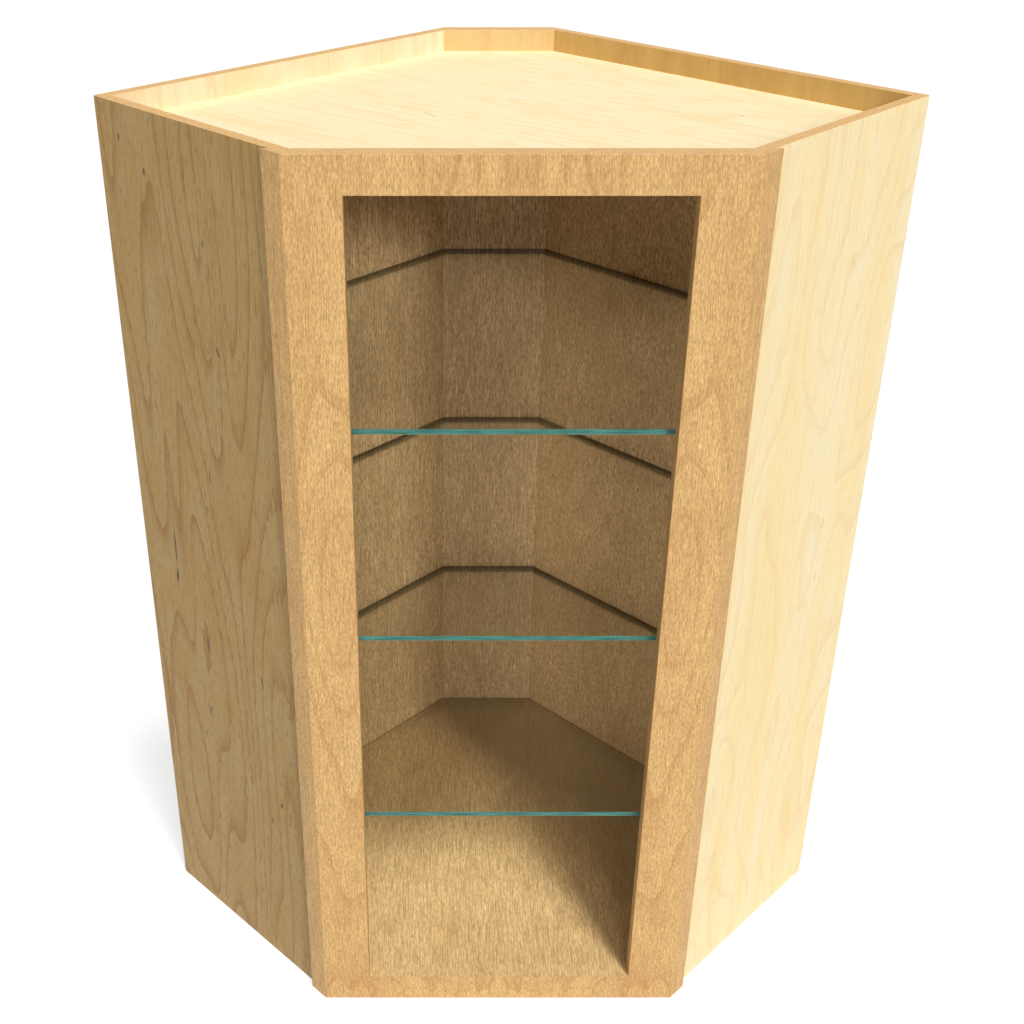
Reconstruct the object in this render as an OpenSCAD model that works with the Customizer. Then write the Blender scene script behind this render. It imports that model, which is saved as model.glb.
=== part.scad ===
// Diagonal corner wall cabinet, open at the front, with a face frame and three glass shelves.
// The front looks towards -Y and +Z is up. The origin is at the base, in the middle of the outline.
// Places on plan are given by two distances from the room's corner: along the left wall and
// along the right wall. The right half mirrors the left half, so only the left half is drawn.

/* [Cabinet] */
// Length along each wall, from the room's corner to the outer edge of the face frame
wall_w = 609.6; // [560:0.1:760]
// Depth of each end, from the wall to the front edge of the face frame
end_depth = 304.8; // [280:0.1:360]
// Height of the whole cabinet
cabinet_h = 1066.8; // [750:0.1:1220]

/* [Plywood box] */
// Thickness of the end panels and the back panels
panel_t = 12.7; // [12:0.1:16]
// Thickness of the top deck and the bottom deck
deck_t = 12.7; // [12:0.1:16]
// Thickness of the board that closes the corner
corner_t = 18; // [16:0.1:20]
// Width of the board that closes the corner
corner_w = 136.5; // [110:0.5:170]
// Depth of the grooves and rabbets that hold the edges of the panels
groove_d = 6; // [4:0.1:7]
// Step between the outer edge of the face frame and the outer face of the end panel
proud = 6.35; // [3:0.05:10]

/* [Face frame] */
// Thickness of the face frame
frame_t = 19.05; // [18:0.05:24]
// Width of a stile on the front face
stile_w = 55; // [45:0.5:70]
// Height of the top rail, whose lower edge is level with the underside of the top deck
top_rail_h = 38.1; // [32:0.1:60]
// Height of the bottom rail, whose upper edge is level with the cabinet's floor
bottom_rail_h = 38.1; // [32:0.1:60]
// Depth of the slanted housing in the stile, at the inner face of the end panel
housing_d = 4; // [2:0.1:5]

/* [Glass shelves] */
// Thickness of the glass
glass_t = 6.35; // [5:0.05:8]
// Clearance from the glass to the walls around it
glass_gap = 1.5; // [1:0.1:4]
// Clearance from the glass to the back of the face frame
glass_front_gap = 1.5; // [1:0.1:10]

/* [Shelf pins] */
// Diameter of the pin in its hole
pin_d = 5; // [5:0.1:6]
// Length of the pin inside the panel
pin_l = 9; // [7:0.1:9.5]
// Diameter of the collar that lies against the panel
collar_d = 7; // [6.5:0.1:7.2]
// Thickness of the collar
collar_t = 1.2; // [0.8:0.1:1.4]
// Length of the flat tongue under the glass
tongue_l = 11; // [9:0.1:16]
// Width of the tongue
tongue_w = 7; // [6:0.1:9]
// Thickness of the tongue
tongue_t = 2; // [1.5:0.1:2.4]
// Diameter of the clear pad on the tongue
pad_d = 6; // [4:0.1:6]
// Thickness of the clear pad
pad_t = 1.2; // [1.1:0.1:2]
// Distance from the back of the face frame to the front pin, along the end panel
front_pin_inset = 50; // [30:1:90]
// Distance from the back panel to the rear pin on the end panel
rear_pin_inset = 60; // [30:1:90]
// Distance from the end panel to the pin on the back panel
wall_pin_inset = 215; // [150:1:260]
// Spacing of the pin holes, one above the other
hole_pitch = 32; // [20:1:50]
// Spare holes above the pin, and as many below it
spare_holes = 1; // [0:1:3]

/* [Screws] */
// Diameter of the screw's shank
screw_d = 4; // [3.5:0.1:4.5]
// Diameter of the countersunk head
screw_head_d = 8; // [7:0.1:9]
// Length of the screw, with its head
screw_l = 38; // [30:1:50]
// Depth of the head below the face of the board
head_sink = 0.3; // [0.2:0.1:1]
// Distance from the ends of the back panel's inner face to its outermost screws
screw_inset = 50; // [30:1:90]
// Distance between the two screws at each deck in the corner board
corner_screw_gap = 76; // [40:1:90]

/* [Dowels] */
// Diameter of the dowels between the rails and the stiles
rail_dowel_d = 8; // [6:0.5:10]
// Length of the dowels between the rails and the stiles
rail_dowel_l = 40; // [30:1:50]
// Distance between the two dowels in a rail's end
rail_dowel_gap = 19; // [14:0.5:20]
// Diameter of the dowels between the decks and the rails
deck_dowel_d = 6; // [5:0.5:8]
// Length of the dowels between the decks and the rails
deck_dowel_l = 30; // [24:1:40]
// Depth of a deck dowel in the rail
deck_dowel_bite = 11; // [8:0.5:14]
// Distance between neighbouring deck dowels
deck_dowel_gap = 100; // [60:1:110]

/* [Hidden] */

// Round pieces have this many sides on screen and are true cylinders in the solid
$fn = 48;
// Radial clearance of a pin, screw or dowel in its hole
fit_gap = 0.05;
// Space for glue or dust past the end of a pin, screw or dowel
end_gap = 0.5;
// How far a cutting tool runs past the face that it enters
overcut = 1;
root2 = sqrt(2);

// Along a wall, the end panel lies between these two distances from the room's corner
side_out = wall_w - proud;
side_in = side_out - panel_t;
// Distances from the room's corner straight towards the front
front_y = (wall_w + end_depth) / root2;
frame_back_y = front_y - frame_t;
corner_out_y = corner_w / 2;
corner_in_y = corner_out_y + corner_t;
// The outline's middle, which the origin lies under
middle_y = (front_y + corner_out_y) / 2;
// Half widths of the face frame at its front face and at its back face
frame_half = (wall_w - end_depth) / root2;
frame_back_half = frame_half + frame_t;
opening_half = frame_half - stile_w;
// Distance along the end panel at which its inner face reaches the stile, and its square end
stile_reach = frame_back_y * root2 - side_in;
side_end = stile_reach + housing_d;

// Undersides of the decks, and the clear height between them
bottom_deck_z = bottom_rail_h - deck_t;
top_deck_z = cabinet_h - top_rail_h;
clear_h = top_deck_z - bottom_rail_h;
shelf_count = 3;
shelf_step = (clear_h - shelf_count * glass_t) / (shelf_count + 1) + glass_t;

// The screw's head is a right-angled cone, and its tip a slim one
head_h = (screw_head_d - screw_d) / 2;
tip_l = 1.5 * screw_d;
tip_d = 0.2 * screw_d;
recess_w = 0.12 * screw_head_d;
recess_l = 0.55 * screw_head_d;

// Distance that the tongue's upper face lies above the pin's axis
tongue_rise = pin_d / 2;
// The neck under the tongue is slimmer than the pin, so that it stays below the tongue's face
neck_d = 0.7 * pin_d;
neck_l = 0.4 * tongue_l;

maple = [0.87, 0.70, 0.48];
birch = [0.95, 0.86, 0.66];
birch_shade = [0.70, 0.60, 0.45];
glass_green = [0.45, 0.72, 0.66, 0.6];
nickel = [0.75, 0.75, 0.73];
clear_rubber = [0.88, 0.90, 0.88];
beech = [0.80, 0.62, 0.42];
zinc = [0.66, 0.62, 0.50];

// Point on plan at distance a along the left wall and b along the right wall
function at(a, b) = [(b - a) / root2, middle_y - (a + b) / root2];

// Underside of a shelf, counted from the lowest as number 1
function shelf_z(number) = bottom_rail_h + number * shelf_step - glass_t;

// Inner outline of the box, pushed outwards by grow, with its front edge at distance front
function inner_outline(grow, front) =
    let (
        clip_y = corner_in_y - grow,
        clip_half = clip_y - root2 * (panel_t - grow),
        shoulder = at(side_in + grow, panel_t - grow),
        nose_half = root2 * (side_in + grow) - front
    )
    [
        [-clip_half, middle_y - clip_y], shoulder, [-nose_half, middle_y - front],
        [nose_half, middle_y - front], [-shoulder[0], shoulder[1]], [clip_half, middle_y - clip_y]
    ];

module both_sides() {
    children();
    mirror([1, 0, 0]) children();
}

// Decks, which also cut their own grooves in the panels
module deck_blank(z) {
    translate([0, 0, z])
        linear_extrude(deck_t)
            polygon(inner_outline(groove_d, frame_back_y));
}

module both_deck_blanks() {
    deck_blank(bottom_deck_z);
    deck_blank(top_deck_z);
}

// Screw along +Z, with z = 0 at the face that it is driven through
module screw_form(grow) {
    translate([0, 0, head_sink]) {
        cylinder(h = head_h, d1 = screw_head_d + 2 * grow, d2 = screw_d + 2 * grow);
        cylinder(h = screw_l - tip_l, d = screw_d + 2 * grow);
        translate([0, 0, screw_l - tip_l])
            cylinder(h = tip_l, d1 = screw_d + 2 * grow, d2 = tip_d + 2 * grow);
    }
}

module screw() {
    difference() {
        screw_form(0);
        for (turn = [0, 90])
            rotate([0, 0, turn])
                translate([-recess_l / 2, -recess_w / 2, 0])
                    cube([recess_l, recess_w, head_sink + head_h * 0.7]);
    }
}

module screw_hole() {
    screw_form(fit_gap);
    translate([0, 0, -overcut])
        cylinder(h = overcut + head_sink, d = screw_head_d + 2 * fit_gap);
    translate([0, 0, head_sink + screw_l - tip_l])
        cylinder(h = tip_l + end_gap, d = screw_d + 2 * fit_gap);
}

// Places of the screws through the left back panel, three at each deck
module at_left_back_screws() {
    first = corner_w / root2 + panel_t + screw_inset;
    last = side_in - screw_inset;
    for (z = [bottom_deck_z, top_deck_z], share = [0, 0.5, 1])
        translate(concat(at(first + share * (last - first), 0), z + deck_t / 2))
            rotate([0, 90, -45])
                children();
}

// Places of the screws through the corner board, two at each deck
module at_corner_screws() {
    for (z = [bottom_deck_z, top_deck_z], side = [-1, 1])
        translate([side * corner_screw_gap / 2, middle_y - corner_out_y, z + deck_t / 2])
            rotate([90, 0, 0])
                children();
}

// Places of the dowels in both ends of a rail whose lower edge is at z
module at_rail_dowels(z, rail_h) {
    for (side = [-1, 1], row = [-1, 1])
        translate([
            side * opening_half,
            middle_y - front_y + frame_t / 2,
            z + rail_h / 2 + row * rail_dowel_gap / 2
        ])
            rotate([0, 90, 0])
                children();
}

module rail_dowels(z, rail_h) {
    at_rail_dowels(z, rail_h)
        cylinder(h = rail_dowel_l, d = rail_dowel_d, center = true);
}

module rail_dowel_holes(z, rail_h) {
    at_rail_dowels(z, rail_h)
        cylinder(h = rail_dowel_l + 2 * end_gap, d = rail_dowel_d + 2 * fit_gap, center = true);
}

// Places of the dowels between a rail and the deck whose underside is at z, pointing forwards
module at_deck_dowels(z) {
    for (place = [-1, 0, 1])
        translate([
            place * deck_dowel_gap,
            middle_y - frame_back_y - deck_dowel_bite + deck_dowel_l / 2,
            z + deck_t / 2
        ])
            rotate([90, 0, 0])
                children();
}

module deck_dowels(z) {
    at_deck_dowels(z)
        cylinder(h = deck_dowel_l, d = deck_dowel_d, center = true);
}

module deck_dowel_holes(z) {
    at_deck_dowels(z)
        cylinder(h = deck_dowel_l + 2 * end_gap, d = deck_dowel_d + 2 * fit_gap, center = true);
}

// Places of the left half's shelf pins at the height z of their axes, with +X into the cabinet
module at_end_pins(z) {
    for (along = [stile_reach - front_pin_inset, panel_t + rear_pin_inset])
        translate(concat(at(side_in, along), z))
            rotate([0, 0, 45])
                children();
}

module at_wall_pin(z) {
    translate(concat(at(side_in - wall_pin_inset, panel_t), z))
        rotate([0, 0, -45])
            children();
}

// Height of the pins' axes under a shelf
function pin_z(number) = shelf_z(number) - pad_t - tongue_rise;

module pin_hole() {
    rotate([0, -90, 0])
        translate([0, 0, -overcut])
            cylinder(h = overcut + pin_l + end_gap, d = pin_d + 2 * fit_gap);
}

// Columns of holes at the three shelves, the pin's own and the spare ones
module each_hole_height() {
    for (number = [1:shelf_count], row = [-spare_holes:spare_holes])
        translate([0, 0, pin_z(number) + row * hole_pitch])
            children();
}

module shelf_pin() {
    rotate([0, -90, 0])
        cylinder(h = pin_l, d = pin_d);
    rotate([0, 90, 0])
        cylinder(h = collar_t, d = collar_d);
    rotate([0, 90, 0])
        cylinder(h = collar_t + neck_l, d = neck_d);
    translate([0, 0, tongue_rise - tongue_t])
        linear_extrude(tongue_t) {
            translate([collar_t / 2, -tongue_w / 2])
                square([collar_t / 2 + tongue_l - tongue_w / 2, tongue_w]);
            translate([collar_t + tongue_l - tongue_w / 2, 0])
                circle(d = tongue_w);
        }
}

module shelf_pad() {
    translate([collar_t + tongue_l - tongue_w / 2, 0, tongue_rise])
        cylinder(h = pad_t, d = pad_d);
}

module pin_group(number) {
    both_sides() {
        at_end_pins(pin_z(number)) shelf_pin();
        at_wall_pin(pin_z(number)) shelf_pin();
    }
}

module pad_group(number) {
    both_sides() {
        at_end_pins(pin_z(number)) shelf_pad();
        at_wall_pin(pin_z(number)) shelf_pad();
    }
}

module glass_shelf(number) {
    translate([0, 0, shelf_z(number)])
        linear_extrude(glass_t)
            polygon(inner_outline(-glass_gap, frame_back_y - glass_front_gap));
}

// End panel on plan: rabbeted for the back panel, with a square end housed in the stile
module side_panel_plan() {
    polygon([
        at(side_in + groove_d, 0), at(side_out, 0), at(side_out, side_end),
        at(side_in, side_end), at(side_in, panel_t), at(side_in + groove_d, panel_t)
    ]);
}

module side_panel_form() {
    difference() {
        linear_extrude(cabinet_h) side_panel_plan();
        both_deck_blanks();
        each_hole_height() at_end_pins(0) pin_hole();
    }
}

// Back panel: its end at the corner is cut on the slant, to lie against the corner board's edge
module back_panel_form() {
    corner_end = corner_w / root2;
    difference() {
        linear_extrude(cabinet_h)
            polygon([
                at(corner_end, 0), at(corner_end + panel_t, panel_t),
                at(side_in + groove_d, panel_t), at(side_in + groove_d, 0)
            ]);
        both_deck_blanks();
        each_hole_height() at_wall_pin(0) pin_hole();
        at_left_back_screws() screw_hole();
    }
}

module stile_form() {
    difference() {
        linear_extrude(cabinet_h)
            difference() {
                polygon([
                    [-frame_half, middle_y - front_y], [-opening_half, middle_y - front_y],
                    [-opening_half, middle_y - frame_back_y], [-frame_back_half, middle_y - frame_back_y]
                ]);
                side_panel_plan();
            }
        rail_dowel_holes(0, bottom_rail_h);
        rail_dowel_holes(top_deck_z, top_rail_h);
    }
}

module rail_form(z, rail_h, deck_z) {
    difference() {
        translate([-opening_half, middle_y - front_y, z])
            cube([2 * opening_half, frame_t, rail_h]);
        rail_dowel_holes(z, rail_h);
        deck_dowel_holes(deck_z);
    }
}

module deck_form(z) {
    difference() {
        deck_blank(z);
        deck_dowel_holes(z);
        both_sides() at_left_back_screws() screw_hole();
        at_corner_screws() screw_hole();
    }
}

module left_side_panel() {
    color(birch_shade) side_panel_form();
}

module right_side_panel() {
    color(birch) mirror([1, 0, 0]) side_panel_form();
}

module left_back_panel() {
    color(maple) back_panel_form();
}

module right_back_panel() {
    color(maple) mirror([1, 0, 0]) back_panel_form();
}

module corner_back_panel() {
    color(maple)
        difference() {
            translate([-corner_w / 2, middle_y - corner_in_y, 0])
                cube([corner_w, corner_t, cabinet_h]);
            both_deck_blanks();
            at_corner_screws() screw_hole();
        }
}

module top_deck() {
    color(birch) deck_form(top_deck_z);
}

module bottom_deck() {
    color(maple) deck_form(bottom_deck_z);
}

module left_stile() {
    color(maple) stile_form();
}

module right_stile() {
    color(maple) mirror([1, 0, 0]) stile_form();
}

module top_rail() {
    color(maple) rail_form(top_deck_z, top_rail_h, top_deck_z);
}

module bottom_rail() {
    color(maple) rail_form(0, bottom_rail_h, bottom_deck_z);
}

module upper_glass_shelf() {
    color(glass_green) glass_shelf(3);
}

module middle_glass_shelf() {
    color(glass_green) glass_shelf(2);
}

module lower_glass_shelf() {
    color(glass_green) glass_shelf(1);
}

module upper_shelf_pins() {
    color(nickel) pin_group(3);
}

module middle_shelf_pins() {
    color(nickel) pin_group(2);
}

module lower_shelf_pins() {
    color(nickel) pin_group(1);
}

module upper_shelf_pads() {
    color(clear_rubber) pad_group(3);
}

module middle_shelf_pads() {
    color(clear_rubber) pad_group(2);
}

module lower_shelf_pads() {
    color(clear_rubber) pad_group(1);
}

module top_rail_dowels() {
    color(beech) rail_dowels(top_deck_z, top_rail_h);
}

module bottom_rail_dowels() {
    color(beech) rail_dowels(0, bottom_rail_h);
}

module top_deck_dowels() {
    color(beech) deck_dowels(top_deck_z);
}

module bottom_deck_dowels() {
    color(beech) deck_dowels(bottom_deck_z);
}

module left_back_screws() {
    color(zinc) at_left_back_screws() screw();
}

module right_back_screws() {
    color(zinc) mirror([1, 0, 0]) at_left_back_screws() screw();
}

module corner_panel_screws() {
    color(zinc) at_corner_screws() screw();
}

left_side_panel();
right_side_panel();
left_back_panel();
right_back_panel();
corner_back_panel();
top_deck();
bottom_deck();
left_stile();
right_stile();
top_rail();
bottom_rail();
upper_glass_shelf();
middle_glass_shelf();
lower_glass_shelf();
upper_shelf_pins();
middle_shelf_pins();
lower_shelf_pins();
upper_shelf_pads();
middle_shelf_pads();
lower_shelf_pads();
top_rail_dowels();
bottom_rail_dowels();
top_deck_dowels();
bottom_deck_dowels();
left_back_screws();
right_back_screws();
corner_panel_screws();
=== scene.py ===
# %% [markdown]
# A kitchen wall cabinet for a corner, with an open front and three glass shelves.
# The box is half-inch birch plywood, the frame around the opening is maple, and everything
# inside is finished in the same honey colour as the frame. This file dresses the measured model:
# it keeps every size of the construction, eases the edges, lays the grain on each board,
# cuts the glass and sets out the pins, pads, screws and dowels.

# %% Open the measured model
import math

import bmesh
import bpy
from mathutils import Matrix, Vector


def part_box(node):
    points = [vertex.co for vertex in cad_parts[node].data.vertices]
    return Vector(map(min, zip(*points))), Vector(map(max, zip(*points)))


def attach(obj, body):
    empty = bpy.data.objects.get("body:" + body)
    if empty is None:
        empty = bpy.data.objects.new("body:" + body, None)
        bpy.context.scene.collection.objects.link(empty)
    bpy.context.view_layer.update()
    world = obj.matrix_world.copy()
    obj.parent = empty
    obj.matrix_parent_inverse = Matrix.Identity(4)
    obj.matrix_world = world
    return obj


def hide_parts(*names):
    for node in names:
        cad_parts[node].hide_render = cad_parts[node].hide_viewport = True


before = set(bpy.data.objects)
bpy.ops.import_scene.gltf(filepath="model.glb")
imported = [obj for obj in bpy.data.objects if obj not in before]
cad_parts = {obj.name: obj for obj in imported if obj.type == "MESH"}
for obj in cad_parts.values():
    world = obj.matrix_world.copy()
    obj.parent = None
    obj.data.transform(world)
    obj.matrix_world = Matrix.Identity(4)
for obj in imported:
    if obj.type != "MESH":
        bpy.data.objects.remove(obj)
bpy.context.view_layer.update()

# %% [markdown]
# The camera stands in front of the cabinet, a little left of its middle and well above it, and
# looks down by 29 degrees. Its two shifts keep the picture's frame where it is without turning
# the camera, so the uprights lean only as much as they should.

# %% Camera
camera = bpy.data.objects.new("camera", bpy.data.cameras.new("camera"))
bpy.context.scene.collection.objects.link(camera)
camera.location = (-0.073721, -1.502235, 1.400886)
camera.rotation_euler = (math.radians(61.008), 0, 0)
camera.data.lens = 48.785
camera.data.shift_x = 0.0710
camera.data.shift_y = -0.0220
camera.data.clip_end = 200
bpy.context.scene.camera = camera
bpy.context.scene.view_settings.view_transform = "Standard"
print("camera height", camera.location.z, "m, lens", camera.data.lens, "mm")

# %% [markdown]
# Every finish below is a small tree of nodes. These helpers add a node, join its sockets and do
# sums, so that each finish reads as a recipe. `shade` turns a colour from a paint chart
# (0 to 255) into the linear light that Blender works in.


# %% Tools for node trees
def connect(tree, value, socket):
    if isinstance(value, bpy.types.NodeSocket):
        tree.links.new(value, socket)
    else:
        socket.default_value = value


def node(tree, kind, inputs=None, **settings):
    made = tree.nodes.new(kind)
    for name, value in settings.items():
        setattr(made, name, value)
    for socket, value in (inputs or {}).items():
        connect(tree, value, made.inputs[socket])
    return made


def sums(tree, operation, *terms):
    made = node(tree, "ShaderNodeMath", operation=operation)
    for place, term in enumerate(terms):
        connect(tree, term, made.inputs[place])
    return made.outputs[0]


def rise(tree, value, low, high):
    """0 below low, 1 above high and a soft step between them."""
    inputs = {"Value": value, "From Min": low, "From Max": high}
    return node(tree, "ShaderNodeMapRange", inputs, interpolation_type="SMOOTHSTEP").outputs[0]


def tint(tree, under, over, mask):
    made = node(tree, "ShaderNodeMix", {0: mask, 6: under, 7: over}, data_type="RGBA")
    return made.outputs[2]


def vector(tree, x, y, z):
    return node(tree, "ShaderNodeCombineXYZ", {0: x, 1: y, 2: z}).outputs[0]


def parts_of(tree, value):
    return node(tree, "ShaderNodeSeparateXYZ", {0: value}).outputs


def object_place(tree):
    return node(tree, "ShaderNodeTexCoord").outputs["Object"]


def grain_noise(tree, place, detail, scale=1.0, rough=0.5):
    inputs = {"Vector": place, "Scale": scale, "Detail": detail, "Roughness": rough}
    return node(tree, "ShaderNodeTexNoise", inputs).outputs[0]


def shade(red, green, blue):
    def linear(value):
        value /= 255
        return value / 12.92 if value <= 0.04045 else ((value + 0.055) / 1.055) ** 2.4
    return (linear(red), linear(green), linear(blue), 1)


def group(name, inputs, outputs, family="ShaderNodeTree"):
    tree = bpy.data.node_groups.new(name, family)
    for label, kind, value in inputs:
        socket = tree.interface.new_socket(label, in_out="INPUT", socket_type="NodeSocket" + kind)
        if value is not None:
            socket.default_value = value
    for label, kind in outputs:
        tree.interface.new_socket(label, in_out="OUTPUT", socket_type="NodeSocket" + kind)
    return tree, tree.nodes.new("NodeGroupInput").outputs, tree.nodes.new("NodeGroupOutput")


def place_group(tree, shared, **values):
    made = node(tree, "ShaderNodeGroup", node_tree=shared)
    for label, value in values.items():
        connect(tree, value, made.inputs[label.replace("_", " ")])
    return made.outputs


def material(name):
    made = bpy.data.materials.new(name)
    made.use_nodes = True
    tree = made.node_tree
    return made, tree, tree.nodes["Principled BSDF"]


print("honey as linear light:", [round(value, 3) for value in shade(221, 178, 122)])

# %% [markdown]
# The floor is a plain pale sheet that runs past the edge of the picture. For the camera, and for
# anything seen in metal or through glass, it glows almost white by itself, and what is left of
# its own colour keeps the cabinet's soft shadow. The world does the same, so the other views
# have the same white behind them.


# %% Floor and world
def seen_directly(tree):
    path = node(tree, "ShaderNodeLightPath")
    near = sums(tree, "MAXIMUM", path.outputs["Is Camera Ray"], path.outputs["Is Glossy Ray"])
    return sums(tree, "MAXIMUM", near, path.outputs["Is Transmission Ray"])


def pale_floor(half_width, hidden_grey, seen_grey, seen_glow):
    corners = [(-1, -1), (1, -1), (1, 1), (-1, 1)]
    mesh = bpy.data.meshes.new("floor")
    mesh.from_pydata([(x * half_width, y * half_width, 0) for x, y in corners], [], [(0, 1, 2, 3)])
    floor = bpy.data.objects.new("floor", mesh)
    bpy.context.scene.collection.objects.link(floor)
    made, tree, surface = material("pale_floor")
    tree.nodes.remove(surface)
    seen = seen_directly(tree)
    grey = sums(tree, "MULTIPLY_ADD", seen, seen_grey - hidden_grey, hidden_grey)
    colour = node(tree, "ShaderNodeCombineColor", {0: grey, 1: grey, 2: grey}).outputs[0]
    paint = node(tree, "ShaderNodeBsdfDiffuse", {"Color": colour}).outputs[0]
    strength = sums(tree, "MULTIPLY", seen, seen_glow)
    glow = node(tree, "ShaderNodeEmission", {"Strength": strength})
    both = node(tree, "ShaderNodeAddShader", {0: paint, 1: glow.outputs[0]}).outputs[0]
    tree.links.new(both, tree.nodes["Material Output"].inputs["Surface"])
    mesh.materials.append(made)


def pale_world(level):
    world = bpy.data.worlds.new("studio")
    world.use_nodes = True
    tree = world.node_tree
    seen = seen_directly(tree)
    strength = sums(tree, "MULTIPLY_ADD", seen, 1.0 - level, level)
    tree.links.new(strength, tree.nodes["Background"].inputs["Strength"])
    tree.nodes["Background"].inputs["Color"].default_value = (1, 1, 1, 1)
    bpy.context.scene.world = world


pale_floor(40, hidden_grey=0.6, seen_grey=0.3, seen_glow=0.75)
pale_world(0.05)
print("floor and world are in place")

# %% [markdown]
# Four suns stand for large soft boxes. The first is high and to the right, so the deck and
# the right side are bright and the right stile throws its shadow on the cabinet's floor. The
# others stand lower, side by side in front, like one wide box: they fill the inside through the
# opening, and each shelf shades the wall below it. A sun lights the top and the bottom of a tall
# cabinet alike, and its angle makes its shadow soft.


# %% Lamps
def soft_box(name, turn, height, strength, width):
    """A sun that shines from turn degrees right of the front and height degrees up."""
    lamp = bpy.data.lights.new(name, "SUN")
    lamp.energy = strength
    lamp.angle = math.radians(width)
    made = bpy.data.objects.new(name, lamp)
    bpy.context.scene.collection.objects.link(made)
    turn, height = math.radians(turn), math.radians(height)
    towards = Vector((math.sin(turn) * math.cos(height), -math.cos(turn) * math.cos(height),
                      math.sin(height)))
    made.rotation_euler = towards.to_track_quat("Z", "Y").to_euler()


soft_box("high_right_box", 27, 74, 2.45, 7)
soft_box("front_left_box", -20, 32, 0.45, 9)
soft_box("front_middle_box", 3, 25, 0.58, 9)
soft_box("front_right_box", 26, 20, 0.98, 9)
print("four soft boxes are in place")

# %% [markdown]
# Wood has a direction, so each board gets its own ruler: three numbers at every corner of every
# face that say how far that corner lies across the grain, along the grain and through the board,
# in metres. The finishes read this ruler in place of the object's own axes. That way one finish
# fits boards that stand at 45 degrees and boards that lie flat, and two boards need not come
# from the same spot of the tree. A level face of an upright board may be veneered with its grain
# towards the viewer, and then its ruler turns over with it.


# %% A ruler on each board
def lay_ruler(mesh, across, along, start=(0, 0, 0), turned_over=None):
    across, along = Vector(across).normalized(), Vector(along).normalized()
    through = across.cross(along)
    ruler = mesh.attributes.new("ruler", "FLOAT_VECTOR", "CORNER")
    for face in mesh.polygons:
        lengthwise, depthwise = along, through
        if turned_over and turned_over(face.normal):
            lengthwise, depthwise = through, along
        for corner in face.loop_indices:
            place = mesh.vertices[mesh.loops[corner].vertex_index].co - Vector(start)
            ruler.data[corner].vector = (place.dot(across), place.dot(lengthwise),
                                         place.dot(depthwise))


def read_ruler(tree):
    return node(tree, "ShaderNodeAttribute", attribute_name="ruler").outputs["Vector"]


print("rulers give across, along and through, in metres")

# %% [markdown]
# The large figure of a veneer is a map of the growth rings that the knife met. The knife cuts
# each ring where it bulges, so the rings show as long closed loops and flames, like contour
# lines of a hilly field. Here the field is a noise stretched along the grain, and a ring is
# drawn each time its height passes a whole number: slowly darker, then a sharp edge.

# %% Figure of growth rings
rings_group, given, result = group(
    "growth_rings",
    [("Ruler", "Vector", None), ("Across", "Float", 10.0), ("Along", "Float", 1.6),
     ("Rings", "Float", 12.0), ("Swell", "Float", 0.0), ("Ragged", "Float", 0.004)],
    [("Line", "Float"), ("Band", "Float")])
tree = rings_group
across, along, through = parts_of(tree, given["Ruler"])
jitter = grain_noise(tree, vector(tree, sums(tree, "MULTIPLY", across, 260),
                                  sums(tree, "MULTIPLY", along, 34), through), 2)
jitter = sums(tree, "MULTIPLY", sums(tree, "SUBTRACT", jitter, 0.5), given["Ragged"])
across = sums(tree, "ADD", across, jitter)
field = vector(tree, sums(tree, "MULTIPLY", across, given["Across"]),
               sums(tree, "MULTIPLY", along, given["Along"]), sums(tree, "MULTIPLY", through, 130))
height = sums(tree, "MULTIPLY_ADD", grain_noise(tree, field, 1.6, rough=0.42), given["Rings"],
              given["Swell"])
step = sums(tree, "FRACT", height)
edge = sums(tree, "SUBTRACT", 1.0, rise(tree, step, 0.97, 1.0))
tree.links.new(sums(tree, "MULTIPLY", sums(tree, "POWER", step, 5.0), edge),
               result.inputs["Line"])
tree.links.new(sums(tree, "PINGPONG", sums(tree, "ADD", height, 0.25), 0.5),
               result.inputs["Band"])
print("growth rings: a group with", len(tree.nodes), "nodes")

# %% [markdown]
# Maple and birch are full of short dashes: rays and pores cut through by the knife. They are one
# noise, squeezed to a dash's width across the grain and its length along it, of which only the
# highest peaks are kept.

# %% Short dashes
dashes_group, given, result = group(
    "short_dashes",
    [("Ruler", "Vector", None), ("Width", "Float", 0.0016), ("Length", "Float", 0.009),
     ("From", "Float", 0.5), ("To", "Float", 0.65)],
    [("Mask", "Float")])
tree = dashes_group
across, along, through = parts_of(tree, given["Ruler"])
place = vector(tree, sums(tree, "DIVIDE", across, given["Width"]),
               sums(tree, "DIVIDE", along, given["Length"]),
               sums(tree, "DIVIDE", through, given["Width"]))
dash = grain_noise(tree, place, 1.5, scale=0.5)
tree.links.new(rise(tree, dash, given["From"], given["To"]), result.inputs["Mask"])
print("short dashes: a group with", len(tree.nodes), "nodes")
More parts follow.
